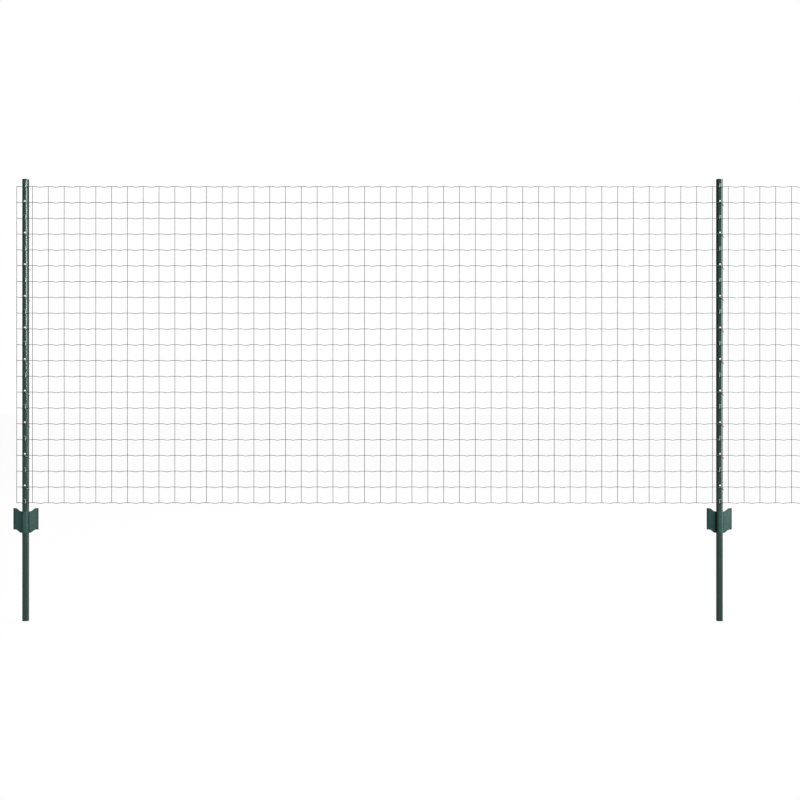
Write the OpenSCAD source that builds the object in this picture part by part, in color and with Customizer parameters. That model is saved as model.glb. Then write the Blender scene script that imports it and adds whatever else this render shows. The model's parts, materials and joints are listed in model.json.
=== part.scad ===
// Stock fence bay: welded square wire mesh on two driven U posts.
// Origin on the ground line, midway between the posts, on the front face of their webs.
// X runs along the fence, Y runs back from the mesh side, Z is up.

/* [Mesh] */
// Pitch of the square mesh cells, both ways
cell = 50; // [40:1:75]
// Number of cells between the bottom and the top line wire
cells_high = 20; // [10:1:30]
// Number of cells along the bay
cells_wide = 50; // [30:1:80]
// Diameter of the line wires and of the stay wires
wire_d = 1.6; // [1.2:0.1:2.4]
// Depth of the tension crimp in the middle of each cell of a line wire
crimp_depth = 2.1; // [0.5:0.1:3]
// Length of one tension crimp along the wire
crimp_len = 31; // [20:1:34]
// Height of the bottom line wire above the ground
ground_gap = 10; // [5:1:60]

/* [Posts] */
// Length of post that stands in the ground
in_ground = 365; // [300:5:500]
// Height of the post above the top line wire
post_above = 25; // [20:1:60]
// Width of the post over its two flanks
post_w = 19.5; // [19:0.5:40]
// Depth of the post from the front of its web to the edges of its flanks
post_depth = 15; // [13:0.5:40]
// Outside radius of the corner between the web and each flank
corner_r = 6.45; // [4:0.05:7]
// Thickness of the post's rolled steel
post_t = 1.5; // [1:0.1:2]
// Whole cells of mesh to the left of the cell that the left post stands in
cells_left = 0; // [0:1:4]
// Whole cells of mesh to the right of the cell that the right post stands in
cells_right = 5; // [0:1:10]

/* [Holes and lugs] */
// Diameter of the tie holes in the web
tie_hole_d = 6; // [4:0.1:6.2]
// Height of a tie hole's centre above its line wire at the crossings
tie_hole_rise = 4.5; // [4:0.1:8]
// Width of a wire lug
lug_w = 5; // [3:0.1:5.4]
// Clearance between a lug and each side of the slot it is punched from
slot_side_gap = 0.2; // [0.1:0.05:0.4]
// Clearance between a lug's tip and the top of its slot
slot_end_gap = 0.35; // [0.2:0.05:1]
// Inside radius of the lug's bend round the line wire
lug_r = 2.4; // [2:0.1:3.5]
// Angle that the lug's straight end leans back by, towards the web
lug_lean = 17; // [15:1:30]

/* [Ties] */
// Diameter of a tie wire
tie_d = 1.6; // [1:0.1:2]
// Clearance between a tie and what it passes round
tie_gap = 0.15; // [0.1:0.05:0.4]
// Length of the cut end that stands out past the flank
tie_tail = 6; // [2:0.5:12]

/* [Anchor plates] */
// Width of an anchor plate over its wing tips
plate_w = 80; // [60:1:120]
// Height of the plate, measured on the post
plate_h = 68; // [40:1:120]
// Thickness of the plate
plate_t = 2; // [1.5:0.1:3]
// Depth of the top of the plate's collar below the ground
plate_drop = 18; // [12:1:80]
// Height by which the wing tips stand above the collar
wing_rise = 10; // [4:1:20]
// Angle by which each wing runs back from the fence line
wing_back = 10; // [4:1:25]
// Inside radius of the bend between the collar and a wing
wing_r = 2; // [1:0.1:4]
// Clearance between the collar and the post
collar_gap = 0.1; // [0.05:0.05:0.3]

/* [Hidden] */
$fn = 48;
arc_steps = 8;              // straight facets in a quarter bend
over = 1;                   // how far a cutting shape runs past what it cuts
mesh_h = cell * cells_high;
mesh_len = cell * cells_wide;
post_pitch = cell * (cells_wide - 1 - cells_left - cells_right);
mesh_x0 = -post_pitch / 2 - cell * (cells_left + 0.5);
post_top = ground_gap + mesh_h + post_above;
nose_w = post_w - 2 * corner_r;         // flat part of the web
post_x = [-post_pitch / 2, post_pitch / 2];
line_y = -wire_d / 2;                   // line wires touch the webs
stay_y = -wire_d * 3 / 2;               // stays are welded in front of the line wires
stay_groups = 17;
stays = cells_wide + 1;
line_names = [for (r = [0 : cells_high]) str("line_wire_", r < 9 ? "0" : "", r + 1)];
stay_names = [for (g = [0 : stay_groups - 1]) str("stay_wires_", g < 9 ? "0" : "", g + 1)];

// Height of line wire r, counted from the bottom, at its welds and at its crimps
function weld_z(r) = ground_gap + cell * r;
function crimp_z(r) = weld_z(r) - crimp_depth;

// Points on an arc, both ends included
function arc(c, r, a0, a1) =
    [for (i = [0 : arc_steps]) let (a = a0 + (a1 - a0) * i / arc_steps) c + r * [cos(a), sin(a)]];
function mirrored(pts) = [for (i = [len(pts) - 1 : -1 : 0]) [-pts[i].x, pts[i].y]];
function reversed(pts) = [for (i = [len(pts) - 1 : -1 : 0]) pts[i]];

// One edge of a crimped line wire, dz above or below its centre line
function crimped_edge(dz) = concat(
    [[0, dz]],
    [for (c = [0 : cells_wide - 1], k = [-1 : 1])
        [cell * (c + 0.5) + k * crimp_len / 2, dz - crimp_depth * (1 - abs(k))]],
    [[mesh_len, dz]]);

module line_wire(r) color("silver")
    translate([mesh_x0, line_y + wire_d / 2, weld_z(r)]) rotate([90, 0, 0])
        linear_extrude(wire_d)
            polygon(concat(crimped_edge(wire_d / 2), reversed(crimped_edge(-wire_d / 2))));

module stay_group(g) color("silver")
    for (s = [floor(g * stays / stay_groups) : floor((g + 1) * stays / stay_groups) - 1])
        translate([mesh_x0 + cell * s, stay_y, ground_gap - wire_d / 2])
            cylinder(h = mesh_h + wire_d, d = wire_d);

// Cross-section of the post up to depth y, set in by one wall thickness for its hollow
module post_outline(inset, y) intersection() {
    union() {
        for (x = [-nose_w / 2, nose_w / 2]) translate([x, corner_r]) circle(corner_r - inset);
        translate([-nose_w / 2, inset]) square([nose_w, y]);
        translate([inset - post_w / 2, corner_r]) square([post_w - 2 * inset, y]);
    }
    translate([-post_w / 2, 0]) square([post_w, y]);
}

// A lug seen from the side: x forward from the web's face, y up from the line wire's centre
lug_c = [wire_d / 2, lug_r - wire_d / 2 - tie_gap];
function lug_face(r) = concat([[-post_t, lug_c.y - r]], arc(lug_c, r, -90, lug_lean));
lug_end = (lug_c.x + lug_r * cos(lug_lean)) / sin(lug_lean);
lug_tip = lug_end * [-sin(lug_lean), cos(lug_lean)];
slot_z = lug_c.y - lug_r;               // bottom of the slot, level with the lug's root
slot_len = lug_r + (lug_r + post_t) * sin(lug_lean) + lug_tip.y + slot_end_gap;

module lug() rotate([90, 0, -90]) translate([0, 0, -lug_w / 2]) linear_extrude(lug_w)
    polygon(concat(
        lug_face(lug_r + post_t), [lug_face(lug_r + post_t)[arc_steps + 1] + lug_tip],
        [lug_face(lug_r)[arc_steps + 1] + lug_tip], reversed(lug_face(lug_r))));

module post(side) color([0.17, 0.3, 0.26]) translate([post_x[side], 0, 0]) {
    difference() {
        translate([0, 0, -in_ground]) linear_extrude(in_ground + post_top)
            difference() { post_outline(0, post_depth); post_outline(post_t, post_depth + over); }
        for (r = [0 : cells_high])
            if (r % 2 == 0)
                translate([-lug_w / 2 - slot_side_gap, -over, crimp_z(r) + slot_z])
                    cube([lug_w + 2 * slot_side_gap, post_t + 2 * over, slot_len]);
            else
                translate([0, -over, weld_z(r) + tie_hole_rise]) rotate([-90, 0, 0])
                    cylinder(h = post_t + 2 * over, d = tie_hole_d);
    }
    for (r = [0 : 2 : cells_high]) translate([0, 0, crimp_z(r)]) lug();
}

// One face of the anchor plate in plan, at distance o outside the post's surface
bend_c = collar_gap + plate_t + wing_r;
wing_y = corner_r;          // where a flank's stretch of collar turns out into the wing
wing_run = (plate_w / 2 - post_w / 2 - bend_c + wing_r * sin(wing_back)) / cos(wing_back);
function plate_face(o) = let (bend = arc([post_w / 2 + bend_c, wing_y], bend_c - o,
                                         180, 90 + wing_back))
    concat(arc([nose_w / 2, corner_r], corner_r + o, -90, 0), bend,
           [bend[arc_steps] + wing_run * [cos(wing_back), sin(wing_back)]]);
function plate_half(o) = concat(mirrored(plate_face(o)), plate_face(o));

// Height of the plate's edges: level on the collar, then an S up to the level wing tips
rise_start = post_w / 2 + bend_c;
rise_len = (plate_w / 2 - rise_start) * 0.7;
function wing_lift(x) = wing_rise * (1 - cos(180 * min(1, max(0, (x - rise_start) / rise_len)))) / 2;
lift_x = concat([0], [for (i = [0 : arc_steps]) rise_start + rise_len * i / arc_steps],
                [plate_w / 2 + over]);
function plate_edge(z) = let (half = [for (x = lift_x) [x, z + wing_lift(x)]])
    concat(mirrored(half), [for (i = [1 : len(half) - 1]) half[i]]);

module anchor_plate(side) color([0.2, 0.36, 0.31]) translate([post_x[side], 0, -plate_drop])
    intersection() {
        translate([0, 0, -plate_h - over]) linear_extrude(plate_h + wing_rise + 2 * over)
            polygon(concat(plate_half(collar_gap + plate_t), reversed(plate_half(collar_gap))));
        translate([0, post_depth * 2 + plate_w / 2, 0]) rotate([90, 0, 0])
            linear_extrude(post_depth * 3 + plate_w)
                polygon(concat(plate_edge(0), reversed(plate_edge(-plate_h))));
    }

// A tie, from its hook behind the web, through the hole, over the line wire and round the flank
tie_off = tie_d / 2 + tie_gap;
bend_pad = (corner_r + tie_off) / cos(15);   // keeps the straight stretches clear of the corner
tie_in_z = tie_hole_rise + crimp_depth - tie_hole_d / 2 + tie_off;   // on the hole's lower edge
function round_flank(a, z) =
    [nose_w / 2 + bend_pad * cos(a), corner_r - bend_pad * sin(a), z];
tie_path = [
    [nose_w / 2, post_t + tie_off, tie_in_z - tie_hole_d],
    [0, post_t + tie_off, tie_in_z],
    [0, -tie_off, tie_in_z],
    [nose_w / 4, -wire_d - tie_off, wire_d],
    [nose_w / 2, -wire_d - tie_off, -wire_d / 2],
    round_flank(60, -wire_d * 2),
    round_flank(30, -wire_d * 3),
    round_flank(0, -wire_d * 4),
    round_flank(0, -wire_d * 4) + tie_tail * [0.6, 0.6, -0.5]
];

// The tie as one tube of flat-sided wire, swept along its path
tie_sides = 8;
tie_ref = [1, 0, 1];        // a direction that the path never runs along
tie_r = tie_d / 2 / cos(180 / tie_sides) * 0.97;
function unit(v) = v / norm(v);
function tie_ring(i) = let (last = len(tie_path) - 1,
        t = unit(tie_path[min(i + 1, last)] - tie_path[max(i - 1, 0)]),
        n = unit(cross(t, tie_ref)), m = cross(t, n))
    [for (k = [0 : tie_sides - 1]) let (a = 360 * k / tie_sides)
        tie_path[i] + tie_r * (n * cos(a) + m * sin(a))];

module tie() {
    n = tie_sides;
    rings = len(tie_path);
    points = [for (i = [0 : rings - 1]) each tie_ring(i)];
    walls = [for (i = [0 : rings - 2], k = [0 : n - 1]) let (j = (k + 1) % n)
        [i * n + k, (i + 1) * n + k, (i + 1) * n + j, i * n + j]];
    ends = [[for (k = [0 : n - 1]) k], [for (k = [n - 1 : -1 : 0]) (rings - 1) * n + k]];
    polyhedron(points, concat(walls, ends));
}

module tie_wires(side) color("gray")
    for (r = [1 : 2 : cells_high]) translate([post_x[side], 0, crimp_z(r)]) tie();

for (r = [0 : cells_high]) line_wire(r);
for (g = [0 : stay_groups - 1]) stay_group(g);
post(0);  // left_post
post(1);  // right_post
anchor_plate(0);  // left_anchor_plate
anchor_plate(1);  // right_anchor_plate
tie_wires(0);  // left_tie_wires
tie_wires(1);  // right_tie_wires
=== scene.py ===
import json
import math
import random

import bmesh
import bpy
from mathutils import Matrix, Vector

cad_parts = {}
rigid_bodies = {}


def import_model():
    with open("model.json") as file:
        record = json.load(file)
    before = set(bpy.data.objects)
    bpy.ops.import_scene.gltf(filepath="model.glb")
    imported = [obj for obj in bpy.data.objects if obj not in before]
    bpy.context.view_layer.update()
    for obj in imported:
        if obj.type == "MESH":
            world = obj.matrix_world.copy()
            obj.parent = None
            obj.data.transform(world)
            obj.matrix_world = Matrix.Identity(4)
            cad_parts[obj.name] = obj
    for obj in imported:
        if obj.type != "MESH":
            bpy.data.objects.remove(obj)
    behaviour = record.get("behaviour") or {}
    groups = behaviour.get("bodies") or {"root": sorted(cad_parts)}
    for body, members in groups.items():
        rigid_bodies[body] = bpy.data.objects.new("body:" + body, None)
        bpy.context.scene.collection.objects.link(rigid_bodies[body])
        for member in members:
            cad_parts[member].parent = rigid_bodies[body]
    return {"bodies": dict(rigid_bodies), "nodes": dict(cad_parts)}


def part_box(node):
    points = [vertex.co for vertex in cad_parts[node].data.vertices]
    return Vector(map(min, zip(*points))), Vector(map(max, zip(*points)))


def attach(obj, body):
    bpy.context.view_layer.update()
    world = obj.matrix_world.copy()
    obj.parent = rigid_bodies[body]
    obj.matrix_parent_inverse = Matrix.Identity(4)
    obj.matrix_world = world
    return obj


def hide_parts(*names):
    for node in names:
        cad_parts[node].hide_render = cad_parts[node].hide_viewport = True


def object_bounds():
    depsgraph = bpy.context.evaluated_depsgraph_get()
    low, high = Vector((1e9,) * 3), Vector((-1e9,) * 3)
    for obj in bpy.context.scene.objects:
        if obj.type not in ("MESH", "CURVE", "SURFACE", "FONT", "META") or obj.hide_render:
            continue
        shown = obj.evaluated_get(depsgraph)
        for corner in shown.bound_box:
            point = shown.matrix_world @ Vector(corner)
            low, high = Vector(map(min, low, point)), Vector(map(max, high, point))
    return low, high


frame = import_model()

# Stock fence bay: crimped square mesh on two powder-coated U posts.
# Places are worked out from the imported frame; sizes are in metres.

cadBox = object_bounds()
mm = 0.001
body = next(iter(frame["bodies"]))
dice = random.Random(21)
lineNodes = sorted(n for n in frame["nodes"] if n.startswith("line_wire_"))
stayNodes = sorted(n for n in frame["nodes"] if n.startswith("stay_wires_"))


def smoothStep(t):
    t = min(1.0, max(0.0, t))
    return t * t * (3 - 2 * t)


def spread(low, high, steps):
    return [low + (high - low) * i / steps for i in range(steps + 1)]


# Shader node groups, shared by the materials

def place(tree, kind, values=None, **settings):  # one node, with values for its input sockets
    node = tree.nodes.new(kind)
    for name, value in settings.items():
        setattr(node, name, value)
    for name, value in (values or {}).items():
        node.inputs[name].default_value = value
    return node


def newGroup(name, inputs, outputs):  # {socket name: default}; a number makes a float, a triple a colour
    tree = bpy.data.node_groups.new(name, "ShaderNodeTree")
    for way, sockets in (("INPUT", inputs), ("OUTPUT", outputs)):
        for label, default in sockets.items():
            isColour = isinstance(default, tuple)
            kind = "NodeSocketColor" if isColour else "NodeSocketFloat"
            socket = tree.interface.new_socket(name=label, in_out=way, socket_type=kind)
            socket.default_value = (*default, 1) if isColour else default
    return tree, tree.nodes.new("NodeGroupInput"), tree.nodes.new("NodeGroupOutput")


def noiseIn(tree, scale, detail, roughness=0.5):  # noise in the object's own space
    coords = place(tree, "ShaderNodeTexCoord")
    noise = place(tree, "ShaderNodeTexNoise", {"Scale": scale, "Detail": detail, "Roughness": roughness})
    tree.links.new(coords.outputs["Object"], noise.inputs["Vector"])
    return noise


def remap(tree, source, fromLow, fromHigh, toLow, toHigh):
    node = place(tree, "ShaderNodeMapRange", {"From Min": fromLow, "From Max": fromHigh,
                                              "To Min": toLow, "To Max": toHigh})
    tree.links.new(source, node.inputs["Value"])
    return node.outputs["Result"]


def mixColour(tree, factor, a, b):  # a and b are sockets or colours
    node = place(tree, "ShaderNodeMix", data_type="RGBA")
    for source, socket in ((factor, node.inputs["Factor"]), (a, node.inputs[6]), (b, node.inputs[7])):
        if isinstance(source, tuple):
            socket.default_value = (*source, 1)
        else:
            tree.links.new(source, socket)
    return node.outputs[2]


def mathNode(tree, operation, a, b):
    node = place(tree, "ShaderNodeMath", operation=operation)
    for source, socket in ((a, node.inputs[0]), (b, node.inputs[1])):
        if isinstance(source, (int, float)):
            socket.default_value = source
        else:
            tree.links.new(source, socket)
    return node.outputs[0]


def makeZincSkin():  # hot-dip zinc: small spangle, fine grain and dull patches
    tree, take, give = newGroup("zincSkin",
                                {"Bright": (0.5, 0.5, 0.5), "Dull": (0.3, 0.3, 0.3),
                                 "Spangle Size": 900.0, "Roughness": 0.4},
                                {"Color": (0.5, 0.5, 0.5), "Roughness": 0.4, "Height": 0.0})
    coords = place(tree, "ShaderNodeTexCoord")
    spangle = place(tree, "ShaderNodeTexVoronoi", {"Randomness": 1.0})
    tree.links.new(coords.outputs["Object"], spangle.inputs["Vector"])
    tree.links.new(take.outputs["Spangle Size"], spangle.inputs["Scale"])
    tone = place(tree, "ShaderNodeSeparateColor")
    tree.links.new(spangle.outputs["Color"], tone.inputs["Color"])
    patches = noiseIn(tree, 60, 5, 0.6).outputs["Fac"]
    grain = noiseIn(tree, 4200, 2).outputs["Fac"]
    patchMask = remap(tree, patches, 0.38, 0.66, 0, 1)
    flake = mathNode(tree, "MULTIPLY", tone.outputs["Red"], 0.35)
    factor = mathNode(tree, "MINIMUM", mathNode(tree, "ADD", flake, patchMask), 1.0)
    colour = mixColour(tree, factor, take.outputs["Bright"], take.outputs["Dull"])
    tree.links.new(colour, give.inputs["Color"])
    rougher = mathNode(tree, "ADD", take.outputs["Roughness"], mathNode(tree, "MULTIPLY", factor, 0.16))
    tree.links.new(rougher, give.inputs["Roughness"])
    fineGrain = mathNode(tree, "MULTIPLY", grain, 0.4)
    tree.links.new(mathNode(tree, "ADD", fineGrain, patches), give.inputs["Height"])
    return tree


def makePowderSkin():  # baked powder coat: orange peel, cloudy depth of colour, fine satin flecks
    tree, take, give = newGroup("powderSkin",
                                {"Film": (0.04, 0.1, 0.08), "Shade": (0.02, 0.06, 0.05),
                                 "Peel Size": 900.0, "Roughness": 0.3},
                                {"Color": (0.04, 0.1, 0.08), "Roughness": 0.3, "Height": 0.0})
    clouds = remap(tree, noiseIn(tree, 9, 4, 0.6).outputs["Fac"], 0.3, 0.7, 0, 1)
    flecks = remap(tree, noiseIn(tree, 2600, 2).outputs["Fac"], 0.56, 0.74, 0, 0.35)
    cloudy = mathNode(tree, "ADD", mathNode(tree, "MULTIPLY", clouds, 0.7), flecks)
    factor = mathNode(tree, "MINIMUM", cloudy, 1.0)
    colour = mixColour(tree, factor, take.outputs["Film"], take.outputs["Shade"])
    tree.links.new(colour, give.inputs["Color"])
    peel = noiseIn(tree, 900, 2, 0.4)
    tree.links.new(take.outputs["Peel Size"], peel.inputs["Scale"])
    rougher = mathNode(tree, "ADD", take.outputs["Roughness"], mathNode(tree, "MULTIPLY", clouds, 0.07))
    tree.links.new(rougher, give.inputs["Roughness"])
    tree.links.new(peel.outputs["Fac"], give.inputs["Height"])
    return tree


def makeEdgeWear():  # the film is thin on a sheet's cut and folded edges
    tree, take, give = newGroup("edgeWear", {"Amount": 1.0, "Break Up": 700.0}, {"Mask": 0.0})
    shape = place(tree, "ShaderNodeNewGeometry")
    edge = remap(tree, shape.outputs["Pointiness"], 0.53, 0.64, 0, 1)
    breakUp = noiseIn(tree, 700, 4, 0.65)
    tree.links.new(take.outputs["Break Up"], breakUp.inputs["Scale"])
    broken = remap(tree, breakUp.outputs["Fac"], 0.42, 0.62, 0, 1)
    mask = mathNode(tree, "MULTIPLY", mathNode(tree, "MULTIPLY", edge, broken), take.outputs["Amount"])
    tree.links.new(mask, give.inputs["Mask"])
    return tree


def makeFieldDust():  # pale dust, thicker low down and in blotches
    tree, take, give = newGroup("fieldDust", {"Amount": 0.3, "Height": 0.5, "Blotch Size": 25.0},
                                {"Mask": 0.0})
    coords = place(tree, "ShaderNodeTexCoord")
    axes = place(tree, "ShaderNodeSeparateXYZ")
    tree.links.new(coords.outputs["Object"], axes.inputs["Vector"])
    rise = place(tree, "ShaderNodeMapRange", {"From Min": cadBox[0][2], "To Min": 1.0, "To Max": 0.25})
    tree.links.new(axes.outputs["Z"], rise.inputs["Value"])
    tree.links.new(take.outputs["Height"], rise.inputs["From Max"])
    blotch = noiseIn(tree, 25, 6, 0.7)
    tree.links.new(take.outputs["Blotch Size"], blotch.inputs["Scale"])
    spots = remap(tree, blotch.outputs["Fac"], 0.4, 0.75, 0, 1)
    mask = mathNode(tree, "MULTIPLY", mathNode(tree, "MULTIPLY", spots, rise.outputs["Result"]),
                    take.outputs["Amount"])
    tree.links.new(mask, give.inputs["Mask"])
    return tree


effects = {
    "zinc": makeZincSkin(),
    "powder": makePowderSkin(),
    "wear": makeEdgeWear(),
    "dust": makeFieldDust(),
}


def useEffect(tree, effect, values):
    node = place(tree, "ShaderNodeGroup", node_tree=effects[effect])
    for name, value in values.items():
        node.inputs[name].default_value = (*value, 1) if isinstance(value, tuple) else value
    return node.outputs


def newMaterial(name, settings):  # its node tree, and a Principled BSDF with these settings
    material = bpy.data.materials.new(name)
    material.use_nodes = True
    tree = material.node_tree
    shader = tree.nodes["Principled BSDF"]
    for socket, value in settings.items():
        shader.inputs[socket].default_value = value
    return material, tree, shader


def addBump(tree, shader, height, strength, distance):
    bump = place(tree, "ShaderNodeBump", {"Strength": strength, "Distance": distance})
    tree.links.new(height, bump.inputs["Height"])
    tree.links.new(bump.outputs["Normal"], shader.inputs["Normal"])


zincLook = {
    "mesh": {"bright": (0.16, 0.163, 0.17), "dull": (0.085, 0.087, 0.092), "spangle": 750.0, "rough": 0.36},
    "tie": {"bright": (0.3, 0.305, 0.315), "dull": (0.15, 0.155, 0.16), "spangle": 1200.0, "rough": 0.42},
    "weld": (0.05, 0.049, 0.048),       # heat-dulled zinc at a weld
    "weldRough": 0.2,
    "dust": (0.42, 0.4, 0.36),
    "dustAmount": 0.12,
    "bump": 0.35,
    "bumpDepth": 0.08 * mm,
}


def zincMaterial(name, look):
    material, tree, shader = newMaterial(name, {"Metallic": 1.0, "IOR": 1.5})
    zinc = useEffect(tree, "zinc", {"Bright": look["bright"], "Dull": look["dull"],
                                    "Spangle Size": look["spangle"], "Roughness": look["rough"]})
    weld = place(tree, "ShaderNodeAttribute", attribute_name="weldHeat")
    dust = useEffect(tree, "dust", {"Amount": zincLook["dustAmount"], "Height": cadBox[1][2],
                                    "Blotch Size": 30.0})
    heated = mixColour(tree, weld.outputs["Fac"], zinc["Color"], zincLook["weld"])
    tree.links.new(mixColour(tree, dust["Mask"], heated, zincLook["dust"]), shader.inputs["Base Color"])
    tree.links.new(mathNode(tree, "SUBTRACT", 1.0, dust["Mask"]), shader.inputs["Metallic"])
    scorched = mathNode(tree, "MULTIPLY", weld.outputs["Fac"], zincLook["weldRough"])
    tree.links.new(mathNode(tree, "ADD", zinc["Roughness"], scorched), shader.inputs["Roughness"])
    addBump(tree, shader, zinc["Height"], zincLook["bump"], zincLook["bumpDepth"])
    return material


coatLook = {
    "post": {"film": (0.018, 0.066, 0.049), "shade": (0.012, 0.047, 0.035), "rough": 0.22, "coat": 1.0},
    "plate": {"film": (0.034, 0.12, 0.102), "shade": (0.023, 0.086, 0.074), "rough": 0.36, "coat": 0.15},
    "primer": (0.1, 0.145, 0.125),      # film worn thin over an edge
    "paintedShade": (0.003, 0.012, 0.009),     # painted shade in a fold and along a rim
    "paintedShadeCover": 0.9,
    "dust": (0.3, 0.29, 0.25),
    "dustAmount": 0.05,
    "wearAmount": 0.5,
    "bump": 0.22,
    "bumpDepth": 0.06 * mm,
}


def coatMaterial(name, look):
    material, tree, shader = newMaterial(name, {"Metallic": 0.0, "IOR": 1.55, "Coat IOR": 1.7,
                                                "Coat Roughness": 0.2, "Coat Weight": look["coat"]})
    powder = useEffect(tree, "powder", {"Film": look["film"], "Shade": look["shade"], "Peel Size": 850.0,
                                        "Roughness": look["rough"]})
    wear = useEffect(tree, "wear", {"Amount": coatLook["wearAmount"], "Break Up": 600.0})
    dust = useEffect(tree, "dust", {"Amount": coatLook["dustAmount"], "Height": cadBox[1][2] * 0.5,
                                    "Blotch Size": 22.0})
    worn = mixColour(tree, wear["Mask"], powder["Color"], coatLook["primer"])
    # Painted shade: a mesh mask on the plates darkens and roughens the film in the folds beside the collar
    # and along the rims
    paintedShade = place(tree, "ShaderNodeAttribute", attribute_name="paintedShade")
    cover = mathNode(tree, "MULTIPLY", paintedShade.outputs["Fac"], coatLook["paintedShadeCover"])
    paintedShadeFilm = mixColour(tree, cover, worn, coatLook["paintedShade"])
    tree.links.new(mixColour(tree, dust["Mask"], paintedShadeFilm, coatLook["dust"]), shader.inputs["Base Color"])
    paintedShadeAndDust = mathNode(tree, "ADD", mathNode(tree, "MULTIPLY", paintedShade.outputs["Fac"], 0.4), dust["Mask"])
    tree.links.new(mathNode(tree, "ADD", powder["Roughness"], mathNode(tree, "MULTIPLY", paintedShadeAndDust, 0.5)),
                   shader.inputs["Roughness"])
    addBump(tree, shader, powder["Height"], coatLook["bump"], coatLook["bumpDepth"])
    return material


materials = {
    "mesh_wire": zincMaterial("galvanisedMeshWire", zincLook["mesh"]),
    "tie_wire": zincMaterial("galvanisedTieWire", zincLook["tie"]),
    "post_coating": coatMaterial("greenPostCoat", coatLook["post"]),
    "plate_coating": coatMaterial("greenPlateCoat", coatLook["plate"]),
}
print("materials ready:", ", ".join(materials))


# Mesh helpers

foldAngle = math.radians(50)            # a sharper fold than this is an edge
softFoldAngle = math.radians(60)        # and once the sheet's edges are softened
cutEnd = {"length": 0.25, "radius": 0.78}  # how a wire's cut end narrows, as shares of its radius


def addPiece(name, shape, slotName, nodes, masks=None):  # shape: (points, faces); masks: one number a point
    mesh = bpy.data.meshes.new(name)
    mesh.from_pydata(shape[0], [], shape[1])
    mesh.polygons.foreach_set("use_smooth", [True] * len(mesh.polygons))
    for label, values in (masks or {}).items():
        mesh.attributes.new(label, "FLOAT", "POINT").data.foreach_set("value", values)
    mesh.set_sharp_from_angle(angle=foldAngle)
    mesh.materials.append(materials[slotName])
    piece = bpy.data.objects.new(name, mesh)
    bpy.context.scene.collection.objects.link(piece)
    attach(piece, body)
    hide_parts(*nodes)
    return piece


def thicken(piece, thickness, edge):  # a mid-surface becomes steel sheet with softened edges
    solid = piece.modifiers.new("sheet", "SOLIDIFY")
    solid.thickness = thickness
    solid.offset = 0
    solid.use_even_offset = True
    bevel = piece.modifiers.new("edges", "BEVEL")
    bevel.width = edge
    bevel.segments = 2
    bevel.limit_method = "ANGLE"
    bevel.angle_limit = foldAngle
    depsgraph = bpy.context.evaluated_depsgraph_get()
    mesh = bpy.data.meshes.new_from_object(piece.evaluated_get(depsgraph))
    piece.modifiers.clear()
    piece.data = mesh
    mesh.set_sharp_from_angle(angle=softFoldAngle)


def mergedSheet(quads):  # quads given as corner points, welded into one surface that faces one way
    built = bmesh.new()
    for corners in quads:
        built.faces.new([built.verts.new(c) for c in corners])
    bmesh.ops.remove_doubles(built, verts=built.verts, dist=0.02 * mm)
    bmesh.ops.recalc_face_normals(built, faces=built.faces)
    built.verts.index_update()
    points = [v.co[:] for v in built.verts]
    faces = [[v.index for v in f.verts] for f in built.faces]
    built.free()
    return points, faces


def tube(path, radius, sides, upright):  # a round wire with lightly broken cut ends
    points, faces = [], []
    last = len(path) - 1
    start, end = (path[1] - path[0]).normalized(), (path[last] - path[last - 1]).normalized()
    burr, tip = radius * cutEnd["length"], radius * cutEnd["radius"]
    rings = [(path[0], tip), (path[0] + start * burr, radius)]
    rings += [(p, radius) for p in path[1:last]]
    rings += [(path[last] - end * burr, radius), (path[last], tip)]
    normal = upright
    for i, (centre, size) in enumerate(rings):
        along = (rings[min(i + 1, len(rings) - 1)][0] - rings[max(i - 1, 0)][0]).normalized()
        normal = (normal - along * normal.dot(along)).normalized()
        across = along.cross(normal)
        for k in range(sides):
            angle = 2 * math.pi * k / sides
            points.append(centre + size * (math.cos(angle) * normal + math.sin(angle) * across))
    for i in range(len(rings) - 1):
        for k in range(sides):
            a, b = i * sides + k, i * sides + (k + 1) % sides
            faces.append((a, b, b + sides, a + sides))
    faces.append(tuple(range(sides))[::-1])
    faces.append(tuple(len(points) - sides + k for k in range(sides)))
    return points, faces


def joined(shapes):  # several (points, faces) as one
    points, faces = [], []
    for more, sides in shapes:
        start = len(points)
        points += more
        faces += [tuple(start + i for i in face) for face in sides]
    return points, faces


# Wire mesh

wire = {
    "radius": 0.8 * mm,
    "sides": 10,
    "crimpLength": 31 * mm,
    "crimpSteps": 14,
    "setDown": 0.3 * mm,            # how far a weld presses the stay into the line wire
    "beadWidth": 1.15 * mm,
    "beadDepth": 0.62 * mm,
    "beadWidthSpread": (0.9, 1.12),
    "beadDepthSpread": (0.9, 1.15),
    "beadSides": 10,
    "beadRows": 5,
    "crimpSpread": (0.94, 1.03),    # from one line wire to the next
    "endOut": 0.6,                  # how far a line wire's end passes its last stay, in wire radii
    "heatReach": 3.2 * mm,
    "openShares": (0.35, 0.65),     # where a stay's path has points between two welds
    "wander": 0.14 * mm,            # how far a stay strays from its line
    "waves": (9, 31),               # the slow and the quick wave of that, in radians a metre
}
wireRadius = wire["radius"]
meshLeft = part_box(lineNodes[0])[0][0]
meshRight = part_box(lineNodes[0])[1][0]
lineTops = [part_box(n)[1][2] for n in lineNodes]
weldHeights = [top - wireRadius for top in lineTops]
crimpDepth = lineTops[0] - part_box(lineNodes[0])[0][2] - 2 * wireRadius
lineY = (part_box(lineNodes[0])[0][1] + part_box(lineNodes[0])[1][1]) / 2
stayY = (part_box(stayNodes[0])[0][1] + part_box(stayNodes[0])[1][1]) / 2 + wire["setDown"]
cell = weldHeights[1] - weldHeights[0]
cellCount = round((meshRight - meshLeft) / cell)


def heatAt(distance):  # 1 at a weld, fading along the wire
    return 1 - smoothStep(abs(distance) / wire["heatReach"])


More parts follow.
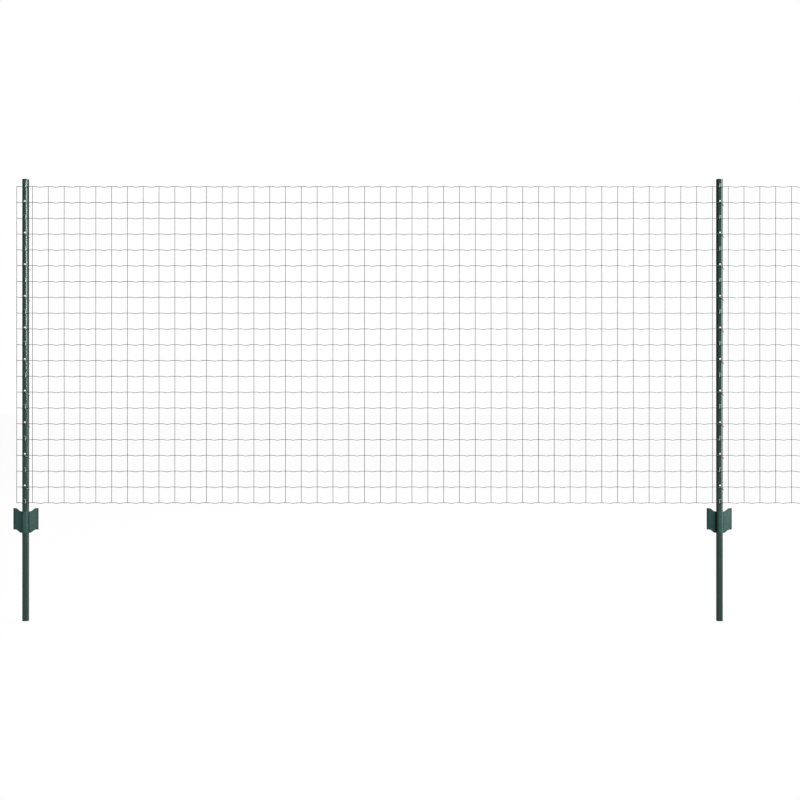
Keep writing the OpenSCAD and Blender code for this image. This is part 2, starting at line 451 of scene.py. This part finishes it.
def weldBead(x, z):  # the squeezed collar of metal where two wires are welded
    points, faces = [], []
    width = min(wire["beadWidth"] * dice.uniform(*wire["beadWidthSpread"]), cadBox[1][0] - x)
    depth = wire["beadDepth"] * dice.uniform(*wire["beadDepthSpread"])
    centre = Vector((x, (lineY + stayY) / 2, z))
    around, rows = wire["beadSides"], wire["beadRows"]
    for row in range(1, rows):
        tilt = math.pi * row / rows
        for k in range(around):
            turn = 2 * math.pi * k / around
            points.append(centre + Vector((width * math.sin(tilt) * math.cos(turn), -depth * math.cos(tilt),
                                           width * math.sin(tilt) * math.sin(turn))))
    for row in range(rows - 2):
        for k in range(around):
            a, b = row * around + k, row * around + (k + 1) % around
            faces.append((a, b, b + around, a + around))
    faces.append(tuple(range(around))[::-1])
    faces.append(tuple(len(points) - around + k for k in range(around)))
    return points, faces


def lineWire(node, weldZ):
    path, heat = [], []
    depth = crimpDepth * dice.uniform(*wire["crimpSpread"])
    half, reach = cell / 2, wire["heatReach"]
    stops = [-half, reach / 2 - half, reach - half]
    stops += spread(-wire["crimpLength"] / 2, wire["crimpLength"] / 2, wire["crimpSteps"])
    stops += [half - reach, half - reach / 2]
    offsets = [(i, off) for i in range(cellCount) for off in stops] + [(cellCount, -half)]
    for i, off in offsets:
        crimp = depth * (1 + math.cos(math.pi * min(1, abs(off) / (wire["crimpLength"] / 2)))) / 2
        path.append(Vector((meshLeft + cell * i + half + off, lineY, weldZ - crimp)))
        heat.append(heatAt(half - abs(off)))
    path[0].x -= wireRadius * wire["endOut"]
    path[-1].x += wireRadius * wire["endOut"]
    shapes = [tube(path, wireRadius, wire["sides"], Vector((0, 1, 0)))]
    mask = [h for h in [heat[0]] + heat + [heat[-1]] for _ in range(wire["sides"])]
    for i in range(cellCount + 1):
        shapes.append(weldBead(meshLeft + cell * i, weldZ))
        mask += [1.0] * len(shapes[-1][0])
    addPiece(node.replace("line_wire", "crimpedLineWire"), joined(shapes), "mesh_wire", [node],
             {"weldHeat": mask})


def stayPath(x):
    sway = [dice.uniform(0, 2 * math.pi) for _ in range(2)]
    path, heat = [], []
    low, high = weldHeights[0] - wireRadius, weldHeights[-1] + wireRadius
    reach = wire["heatReach"]
    heights = [low]
    for z in weldHeights:
        nearby = [z - reach, z - reach / 2, z, z + reach / 2, z + reach]
        nearby += [z + cell * share for share in wire["openShares"]]
        heights += [h for h in nearby if low < h < high]
    for z in heights + [high]:
        slow, quick = (math.sin(start + z * wave) for start, wave in zip(sway, wire["waves"]))
        drift = wire["wander"] * slow + wire["wander"] * 0.5 * quick
        path.append(Vector((min(x + drift, cadBox[1][0] - wireRadius), stayY, z)))
        heat.append(heatAt(min(abs(z - w) for w in weldHeights)))
    return path, heat


def stayGroup(node):
    low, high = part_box(node)
    count = round((high[0] - low[0]) / cell) + 1
    shapes, mask = [], []
    for i in range(count):
        path, heat = stayPath(low[0] + wireRadius + cell * i)
        shapes.append(tube(path, wireRadius, wire["sides"], Vector((1, 0, 0))))
        mask += [h for h in [heat[0]] + heat + [heat[-1]] for _ in range(wire["sides"])]
    addPiece(node.replace("stay_wires", "stayWires"), joined(shapes), "mesh_wire", [node],
             {"weldHeat": mask})


for node, weldZ in zip(lineNodes, weldHeights):
    lineWire(node, weldZ)
for node in stayNodes:
    stayGroup(node)
print("mesh ready:", len(lineNodes), "line wires,", len(stayNodes), "groups of stays")


# U posts

post = {
    "sheet": 1.5 * mm,
    "corner": 6.45 * mm,            # outside radius between web and flank
    "cornerSteps": 9,
    "flankSteps": 3,
    "webSteps": 6,
    "holeRadius": 3 * mm,
    "holeRise": 4.5 * mm,
    "holeMargin": 5 * mm,           # from a hole's centre to the plain web
    "holeSteps": 6,
    "slotMargin": 2 * mm,           # and from a slot's end
    "slotSteps": 14,
    "ringShare": 0.45,              # where the faces round an opening divide
    "slotWidth": 5.4 * mm,
    "slotTop": 13.05 * mm,          # above the crimped wire
    "lugWidth": 5 * mm,
    "rootBend": 1.2 * mm,
    "lugBend": 3.15 * mm,           # middle of the sheet round the line wire
    "lugShelf": 1.7 * mm,           # middle of the sheet under the line wire
    "lugLean": 17,
    "rootSteps": 4,
    "curlSteps": 10,
    "tipShares": (0.2, 0.4, 0.6, 0.8, 0.94, 1),
    "tipTaper": (0.96, 0.8),        # the lug's width at its last two rows
    "rowGap": 14 * mm,
    "edge": 0.22 * mm,
}


def arcPoints(centreX, centreY, radius, fromAngle, toAngle, steps):
    return [(centreX + radius * math.cos(math.radians(a)), centreY + radius * math.sin(math.radians(a)))
            for a in spread(fromAngle, toAngle, steps)]


def postSide(width, depth):  # mid-surface from the web's edge round to the flank's back edge
    radius = post["corner"] - post["sheet"] / 2
    corner = arcPoints(width / 2 - post["corner"], post["corner"], radius, -90, 0, post["cornerSteps"])
    flank = [(corner[-1][0], y) for y in spread(post["corner"], depth, post["flankSteps"])[1:]]
    return corner + flank


def plainWeb(rows, half):  # web with no opening, between the given heights
    y = post["sheet"] / 2
    xs = spread(-half, half, post["webSteps"])
    return [((x0, y, a), (x1, y, a), (x1, y, b), (x0, y, b))
            for a, b in zip(rows, rows[1:]) for x0, x1 in zip(xs, xs[1:])]


def frameLoop(upSteps, acrossSteps):  # once round a square from its lower right corner: (side, share, s, t)
    loop = [(0, j / upSteps, 1, j / upSteps) for j in range(upSteps)]
    loop += [(1, j / acrossSteps, 1 - j / acrossSteps, 1) for j in range(acrossSteps)]
    loop += [(2, j / upSteps, 0, 1 - j / upSteps) for j in range(upSteps)]
    loop += [(3, j / acrossSteps, j / acrossSteps, 0) for j in range(acrossSteps)]
    return loop


def roundHole(centreZ):
    def inner(side, share, s, t):
        angle = math.radians(-45 + 90 * (side + share))
        return post["holeRadius"] * math.cos(angle), centreZ + post["holeRadius"] * math.sin(angle)
    return inner


def slotHole(low, high):
    def inner(side, share, s, t):
        return (s - 0.5) * post["slotWidth"], low + t * (high - low)
    return inner


def piercedWeb(low, high, upSteps, half, inner):  # web between two heights, with one opening
    loop = frameLoop(upSteps, post["webSteps"])
    y = post["sheet"] / 2
    rings = []
    for share in (0, post["ringShare"], 1):
        ring = []
        for step in loop:
            outer = ((step[2] - 0.5) * 2 * half, low + step[3] * (high - low))
            x, z = (o + (i - o) * share for o, i in zip(outer, inner(*step)))
            ring.append((x, y, z))
        rings.append(ring)
    count = len(loop)
    return [(rings[r][k], rings[r][(k + 1) % count], rings[r + 1][(k + 1) % count], rings[r + 1][k])
            for r in range(2) for k in range(count)]


def lugQuads(crimpZ):  # the tongue punched up out of the slot, round the wire and back to the web
    y, bend, curl = post["sheet"] / 2, post["rootBend"], post["lugBend"]
    shelf = crimpZ - post["lugShelf"]
    line = [(y - bend + bend * math.cos(math.radians(a)), shelf - bend + bend * math.sin(math.radians(a)))
            for a in spread(0, 90, post["rootSteps"])]
    lean = math.radians(post["lugLean"])
    line += [(lineY - curl * math.cos(math.radians(a)), shelf + curl + curl * math.sin(math.radians(a)))
             for a in spread(-90, post["lugLean"], post["curlSteps"])]
    end = ((curl - post["sheet"] / 2) * math.cos(lean) - lineY) / math.sin(lean)
    for share in post["tipShares"]:
        run = end * share
        line.append((lineY - curl * math.cos(lean) + run * math.sin(lean),
                     shelf + curl + curl * math.sin(lean) + run * math.cos(lean)))
    widths = [post["slotWidth"]] + [post["lugWidth"]] * (len(line) - 1 - len(post["tipTaper"]))
    widths += [post["lugWidth"] * k for k in post["tipTaper"]]
    rows = [[(x, py, pz) for x in spread(-w / 2, w / 2, post["webSteps"])]
            for (py, pz), w in zip(line, widths)]
    return [(a[k], a[k + 1], b[k + 1], b[k])
            for a, b in zip(rows, rows[1:]) for k in range(post["webSteps"])]


def buildPost(node):
    low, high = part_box(node)
    width = high[0] - low[0]
    side = postSide(width, high[1])
    half = side[0][0]
    openings = []
    for i, weldZ in enumerate(weldHeights):
        if i % 2:
            z = weldZ + post["holeRise"]
            openings.append((z - post["holeMargin"], z + post["holeMargin"], post["holeSteps"],
                             roundHole(z)))
        else:
            root = weldZ - crimpDepth - post["lugShelf"] - post["rootBend"]
            tip = weldZ - crimpDepth + post["slotTop"]
            openings.append((root - post["slotMargin"], tip + post["slotMargin"], post["slotSteps"],
                             slotHole(root, tip)))
    quads, levels, z = [], [low[2]], low[2]
    for start, stop, steps, inner in openings:
        webRows = spread(z, start, max(1, round((start - z) / post["rowGap"])))
        levels += webRows[1:]
        quads += plainWeb(webRows, half)
        quads += piercedWeb(start, stop, steps, half, inner)
        levels += spread(start, stop, steps)[1:]
        z = stop
    top = spread(z, high[2], 2)
    quads += plainWeb(top, half)
    levels += top[1:]
    for a, b in zip(levels, levels[1:]):
        for (x0, y0), (x1, y1) in zip(side, side[1:]):
            quads.append(((x0, y0, a), (x1, y1, a), (x1, y1, b), (x0, y0, b)))
            quads.append(((-x0, y0, a), (-x0, y0, b), (-x1, y1, b), (-x1, y1, a)))
    for weldZ in weldHeights[::2]:
        quads += lugQuads(weldZ - crimpDepth)
    centre = (low[0] + high[0]) / 2
    points, faces = mergedSheet(quads)
    points = [(x + centre, y, z) for x, y, z in points]
    piece = addPiece(node.split("_")[0] + "UPost", (points, faces), "post_coating", [node])
    thicken(piece, post["sheet"], post["edge"])
    return piece


posts = {node: buildPost(node) for node in ("left_post", "right_post")}
print("posts ready:", ", ".join(f"{p.name} {len(p.data.polygons)} faces" for p in posts.values()))


# Anchor plates

plate = {
    "sheet": 2 * mm,
    "gap": 0.1 * mm,                # between the collar and the post
    "wingBend": 2 * mm,
    "wingBack": 10,
    "noseSteps": 4,
    "cornerSteps": 10,
    "bendSteps": 8,
    "wingSteps": 14,
    "rise": 10 * mm,
    "riseShare": 0.7,
    "rows": 34,
    "spotHeights": (0.25, 0.75),    # shares of the collar's height
    "spotRadius": 2.6 * mm,
    "spotDepth": 0.35 * mm,
    "rimReach": 4.5 * mm,           # how far the painted shade runs in from the upper and lower rims
    "sideReach": 7.5 * mm,          # and from the wings' outer rims
    "foldReach": 3.6 * mm,
    "edge": 0.35 * mm,
}


def buildPlate(node, postNode):
    low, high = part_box(node)
    postLow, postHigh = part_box(postNode)
    postHalf = (postHigh[0] - postLow[0]) / 2
    centre = (low[0] + high[0]) / 2
    off = plate["gap"] + plate["sheet"] / 2
    reach = plate["gap"] + plate["sheet"] + plate["wingBend"]
    nose = postHalf - post["corner"]
    back = math.radians(plate["wingBack"])
    line = [(x, -off) for x in spread(0, nose, plate["noseSteps"])]
    line += arcPoints(nose, post["corner"], post["corner"] + off, -90, 0, plate["cornerSteps"])[1:]
    line += arcPoints(postHalf + reach, post["corner"], reach - off, 180, 90 + plate["wingBack"],
                      plate["bendSteps"])[1:]
    tip = ((high[0] - low[0]) / 2 - plate["sheet"] / 2 * math.sin(back) - line[-1][0]) / math.cos(back)
    wing = line[-1]
    line += [(wing[0] + run * math.cos(back), wing[1] + run * math.sin(back))
             for run in spread(0, tip, plate["wingSteps"])[1:]]
    line = [(-x, y) for x, y in reversed(line[1:])] + line
    riseStart = postHalf + reach
    riseLength = ((high[0] - low[0]) / 2 - riseStart) * plate["riseShare"]
    foot, height = low[2], high[2] - low[2] - plate["rise"]
    spots = [foot + height * share for share in plate["spotHeights"]]
    halfWidth, fold = (high[0] - low[0]) / 2, postHalf + off
    points, paintedShade = [], []
    for t in spread(0, 1, plate["rows"]):
        for x, y in line:
            swing = (1 - math.cos(math.pi * min(1, max(0, (abs(x) - riseStart) / riseLength)))) / 2
            z = foot + height * t + plate["rise"] * swing
            dent = max(1 - smoothStep(math.hypot(x, z - s) / plate["spotRadius"]) for s in spots)
            points.append((x + centre, y + (plate["spotDepth"] * dent if abs(x) < nose else 0), z))
            # Painted shade, darkest at a rim or at the fold beside the collar, fading inwards
            rim = height * min(t, 1 - t) if abs(x) > fold else height
            nearness = [rim / plate["rimReach"], (halfWidth - abs(x)) / plate["sideReach"],
                        abs(abs(x) - fold) / plate["foldReach"]]
            paintedShade.append(1 - smoothStep(min(nearness)))
    wide = len(line)
    faces = [(a + k, a + k + 1, a + k + 1 + wide, a + k + wide)
             for a in range(0, len(points) - wide, wide) for k in range(wide - 1)]
    piece = addPiece(node.split("_")[0] + "AnchorPlate", (points, faces), "plate_coating", [node],
                     {"paintedShade": paintedShade})
    thicken(piece, plate["sheet"], plate["edge"])


buildPlate("left_anchor_plate", "left_post")
buildPlate("right_anchor_plate", "right_post")
print("anchor plates ready")


# Tie wires

tie = {
    "radius": 0.8 * mm,
    "gap": 0.15 * mm,
    "sides": 12,
    "smooth": 5,                    # points between two bends
    "bowAngle": 15,                 # half the turn between two bends round the post's corner
    "cornerAngles": (60, 30, 0),
    "tail": 6 * mm,
    "tailSpread": (0.85, 1.0),
    "tailWay": (0.6, 0.6, -0.5),    # along, back and up, as shares of the tail
}


def curveThrough(corners, steps):  # a smooth line through the bends
    points = []
    for i in range(len(corners) - 1):
        a, b = corners[max(i - 1, 0)], corners[i]
        c, d = corners[i + 1], corners[min(i + 2, len(corners) - 1)]
        for k in range(steps):
            t = k / steps
            points.append(0.5 * ((2 * b) + (c - a) * t + (2 * a - 5 * b + 4 * c - d) * t * t
                                 + (3 * b - a - 3 * c + d) * t * t * t))
    return points + [corners[-1]]


def buildTies(node, postNode):
    postLow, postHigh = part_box(postNode)
    centre = (postLow[0] + postHigh[0]) / 2
    nose = (postHigh[0] - postLow[0]) / 2 - post["corner"]
    off = tie["radius"] + tie["gap"]
    around = (post["corner"] + off) / math.cos(math.radians(tie["bowAngle"]))
    behind = post["sheet"] + off
    front = -2 * wireRadius - off
    thick = 2 * wireRadius
    shapes = []
    for weldZ in weldHeights[1::2]:
        z = weldZ - crimpDepth
        hole = weldZ + post["holeRise"]
        seat = hole - post["holeRadius"] + off
        bends = [(nose, behind, seat - 2 * post["holeRadius"]), (0, behind, seat), (0, -off, seat),
                 (nose / 2, front, z + thick), (nose, front, z - thick / 2)]
        for i, angle in enumerate(tie["cornerAngles"]):
            bends.append((nose + around * math.cos(math.radians(angle)),
                          post["corner"] - around * math.sin(math.radians(angle)), z - thick * (i + 2)))
        tail = tie["tail"] * dice.uniform(*tie["tailSpread"])
        bends.append(tuple(end + tail * way for end, way in zip(bends[-1], tie["tailWay"])))
        path = curveThrough([Vector((centre + x, y, h)) for x, y, h in bends], tie["smooth"])
        shapes.append(tube(path, tie["radius"], tie["sides"], Vector((1, 0, 1))))
    addPiece(node.split("_")[0] + "TieWires", joined(shapes), "tie_wire", [node])


buildTies("left_tie_wires", "left_post")
buildTies("right_tie_wires", "right_post")
print("ties ready")


# Studio

studio = {
    "groundZ": cadBox[0][2],
    "floorSize": 60,
    "cameraDistance": 4.4,
    "viewWidth": 2.531,             # fence length that fills the picture
    "aim": (0.087, 0.335),          # where the camera looks, along and up
    "sensor": 36,
    "clipEnd": 200,
    "floorColour": (0.02, 0.02, 0.02, 1),
    "floorGlow": (0.2, 0.975),      # as a light, and to the camera
    "worldGlow": (0.05, 1.0),
    "lights": {                     # brightness is for each square metre
        "leftStrip": {"at": (-0.45, -3.3, 1.15), "aimAt": (-1.35, -2.87, 1.15),
                      "size": (1.8, 1.1), "brightness": 43},
        "sideSoftbox": {"at": (2.49, -0.8, 0.7), "aimAt": (1.1, 0.0, 0.7),
                        "size": (1.8, 1.6), "brightness": 11},
        "topSoftbox": {"at": (3.2, -2.2, 3.2), "aimAt": (0.3, 0.0, 0.3),
                       "size": (2.2, 2.2), "brightness": 30},
        "backSoftbox": {"at": (2.0, 4.0, 5.0), "aimAt": (0.3, 0.0, 0.3),
                        "size": (3.0, 3.0), "brightness": 60},
    },
}


def glowTo(tree, levels):  # dimmer as a light than to the camera
    path = place(tree, "ShaderNodeLightPath")
    return remap(tree, path.outputs["Is Camera Ray"], 0, 1, *levels)


def makeFloor():  # glows evenly to the camera, so that it stays white in every view
    points = [(x * studio["floorSize"], y * studio["floorSize"], studio["groundZ"])
              for x, y in ((-1, -1), (1, -1), (1, 1), (-1, 1))]
    mesh = bpy.data.meshes.new("studioFloor")
    mesh.from_pydata(points, [], [(0, 1, 2, 3)])
    floor = bpy.data.objects.new("studioFloor", mesh)
    bpy.context.scene.collection.objects.link(floor)
    material, tree, shader = newMaterial("paleFloor", {"Base Color": studio["floorColour"], "Roughness": 0.9,
                                                       "Specular IOR Level": 0.0,
                                                       "Emission Color": (1, 1, 1, 1)})
    tree.links.new(glowTo(tree, studio["floorGlow"]), shader.inputs["Emission Strength"])
    mesh.materials.append(material)


def makeWorld():
    world = bpy.data.worlds.new("studio")
    world.use_nodes = True
    bpy.context.scene.world = world
    tree = world.node_tree
    background = tree.nodes["Background"]
    background.inputs["Color"].default_value = (1, 1, 1, 1)
    tree.links.new(glowTo(tree, studio["worldGlow"]), background.inputs["Strength"])


def addLight(name, at, aimAt, size, brightness):
    data = bpy.data.lights.new(name, "AREA")
    data.shape = "RECTANGLE"
    data.size, data.size_y = size
    data.energy = brightness * size[0] * size[1]
    light = bpy.data.objects.new(name, data)
    light.location = at
    light.rotation_euler = (Vector(aimAt) - Vector(at)).to_track_quat("-Z", "Y").to_euler()
    light.visible_camera = False
    bpy.context.scene.collection.objects.link(light)


makeFloor()
makeWorld()
for name, settings in studio["lights"].items():
    addLight(name, **settings)

camera = bpy.data.cameras.new("viewCamera")
camera.sensor_width = studio["sensor"]
camera.lens = studio["sensor"] * studio["cameraDistance"] / studio["viewWidth"]
camera.clip_end = studio["clipEnd"]
viewer = bpy.data.objects.new("viewCamera", camera)
viewer.location = (studio["aim"][0], -studio["cameraDistance"], studio["aim"][1])
viewer.rotation_euler = (math.radians(90), 0, 0)
bpy.context.scene.collection.objects.link(viewer)
bpy.context.scene.camera = viewer
bpy.context.scene.view_settings.view_transform = "Standard"
print("studio ready")
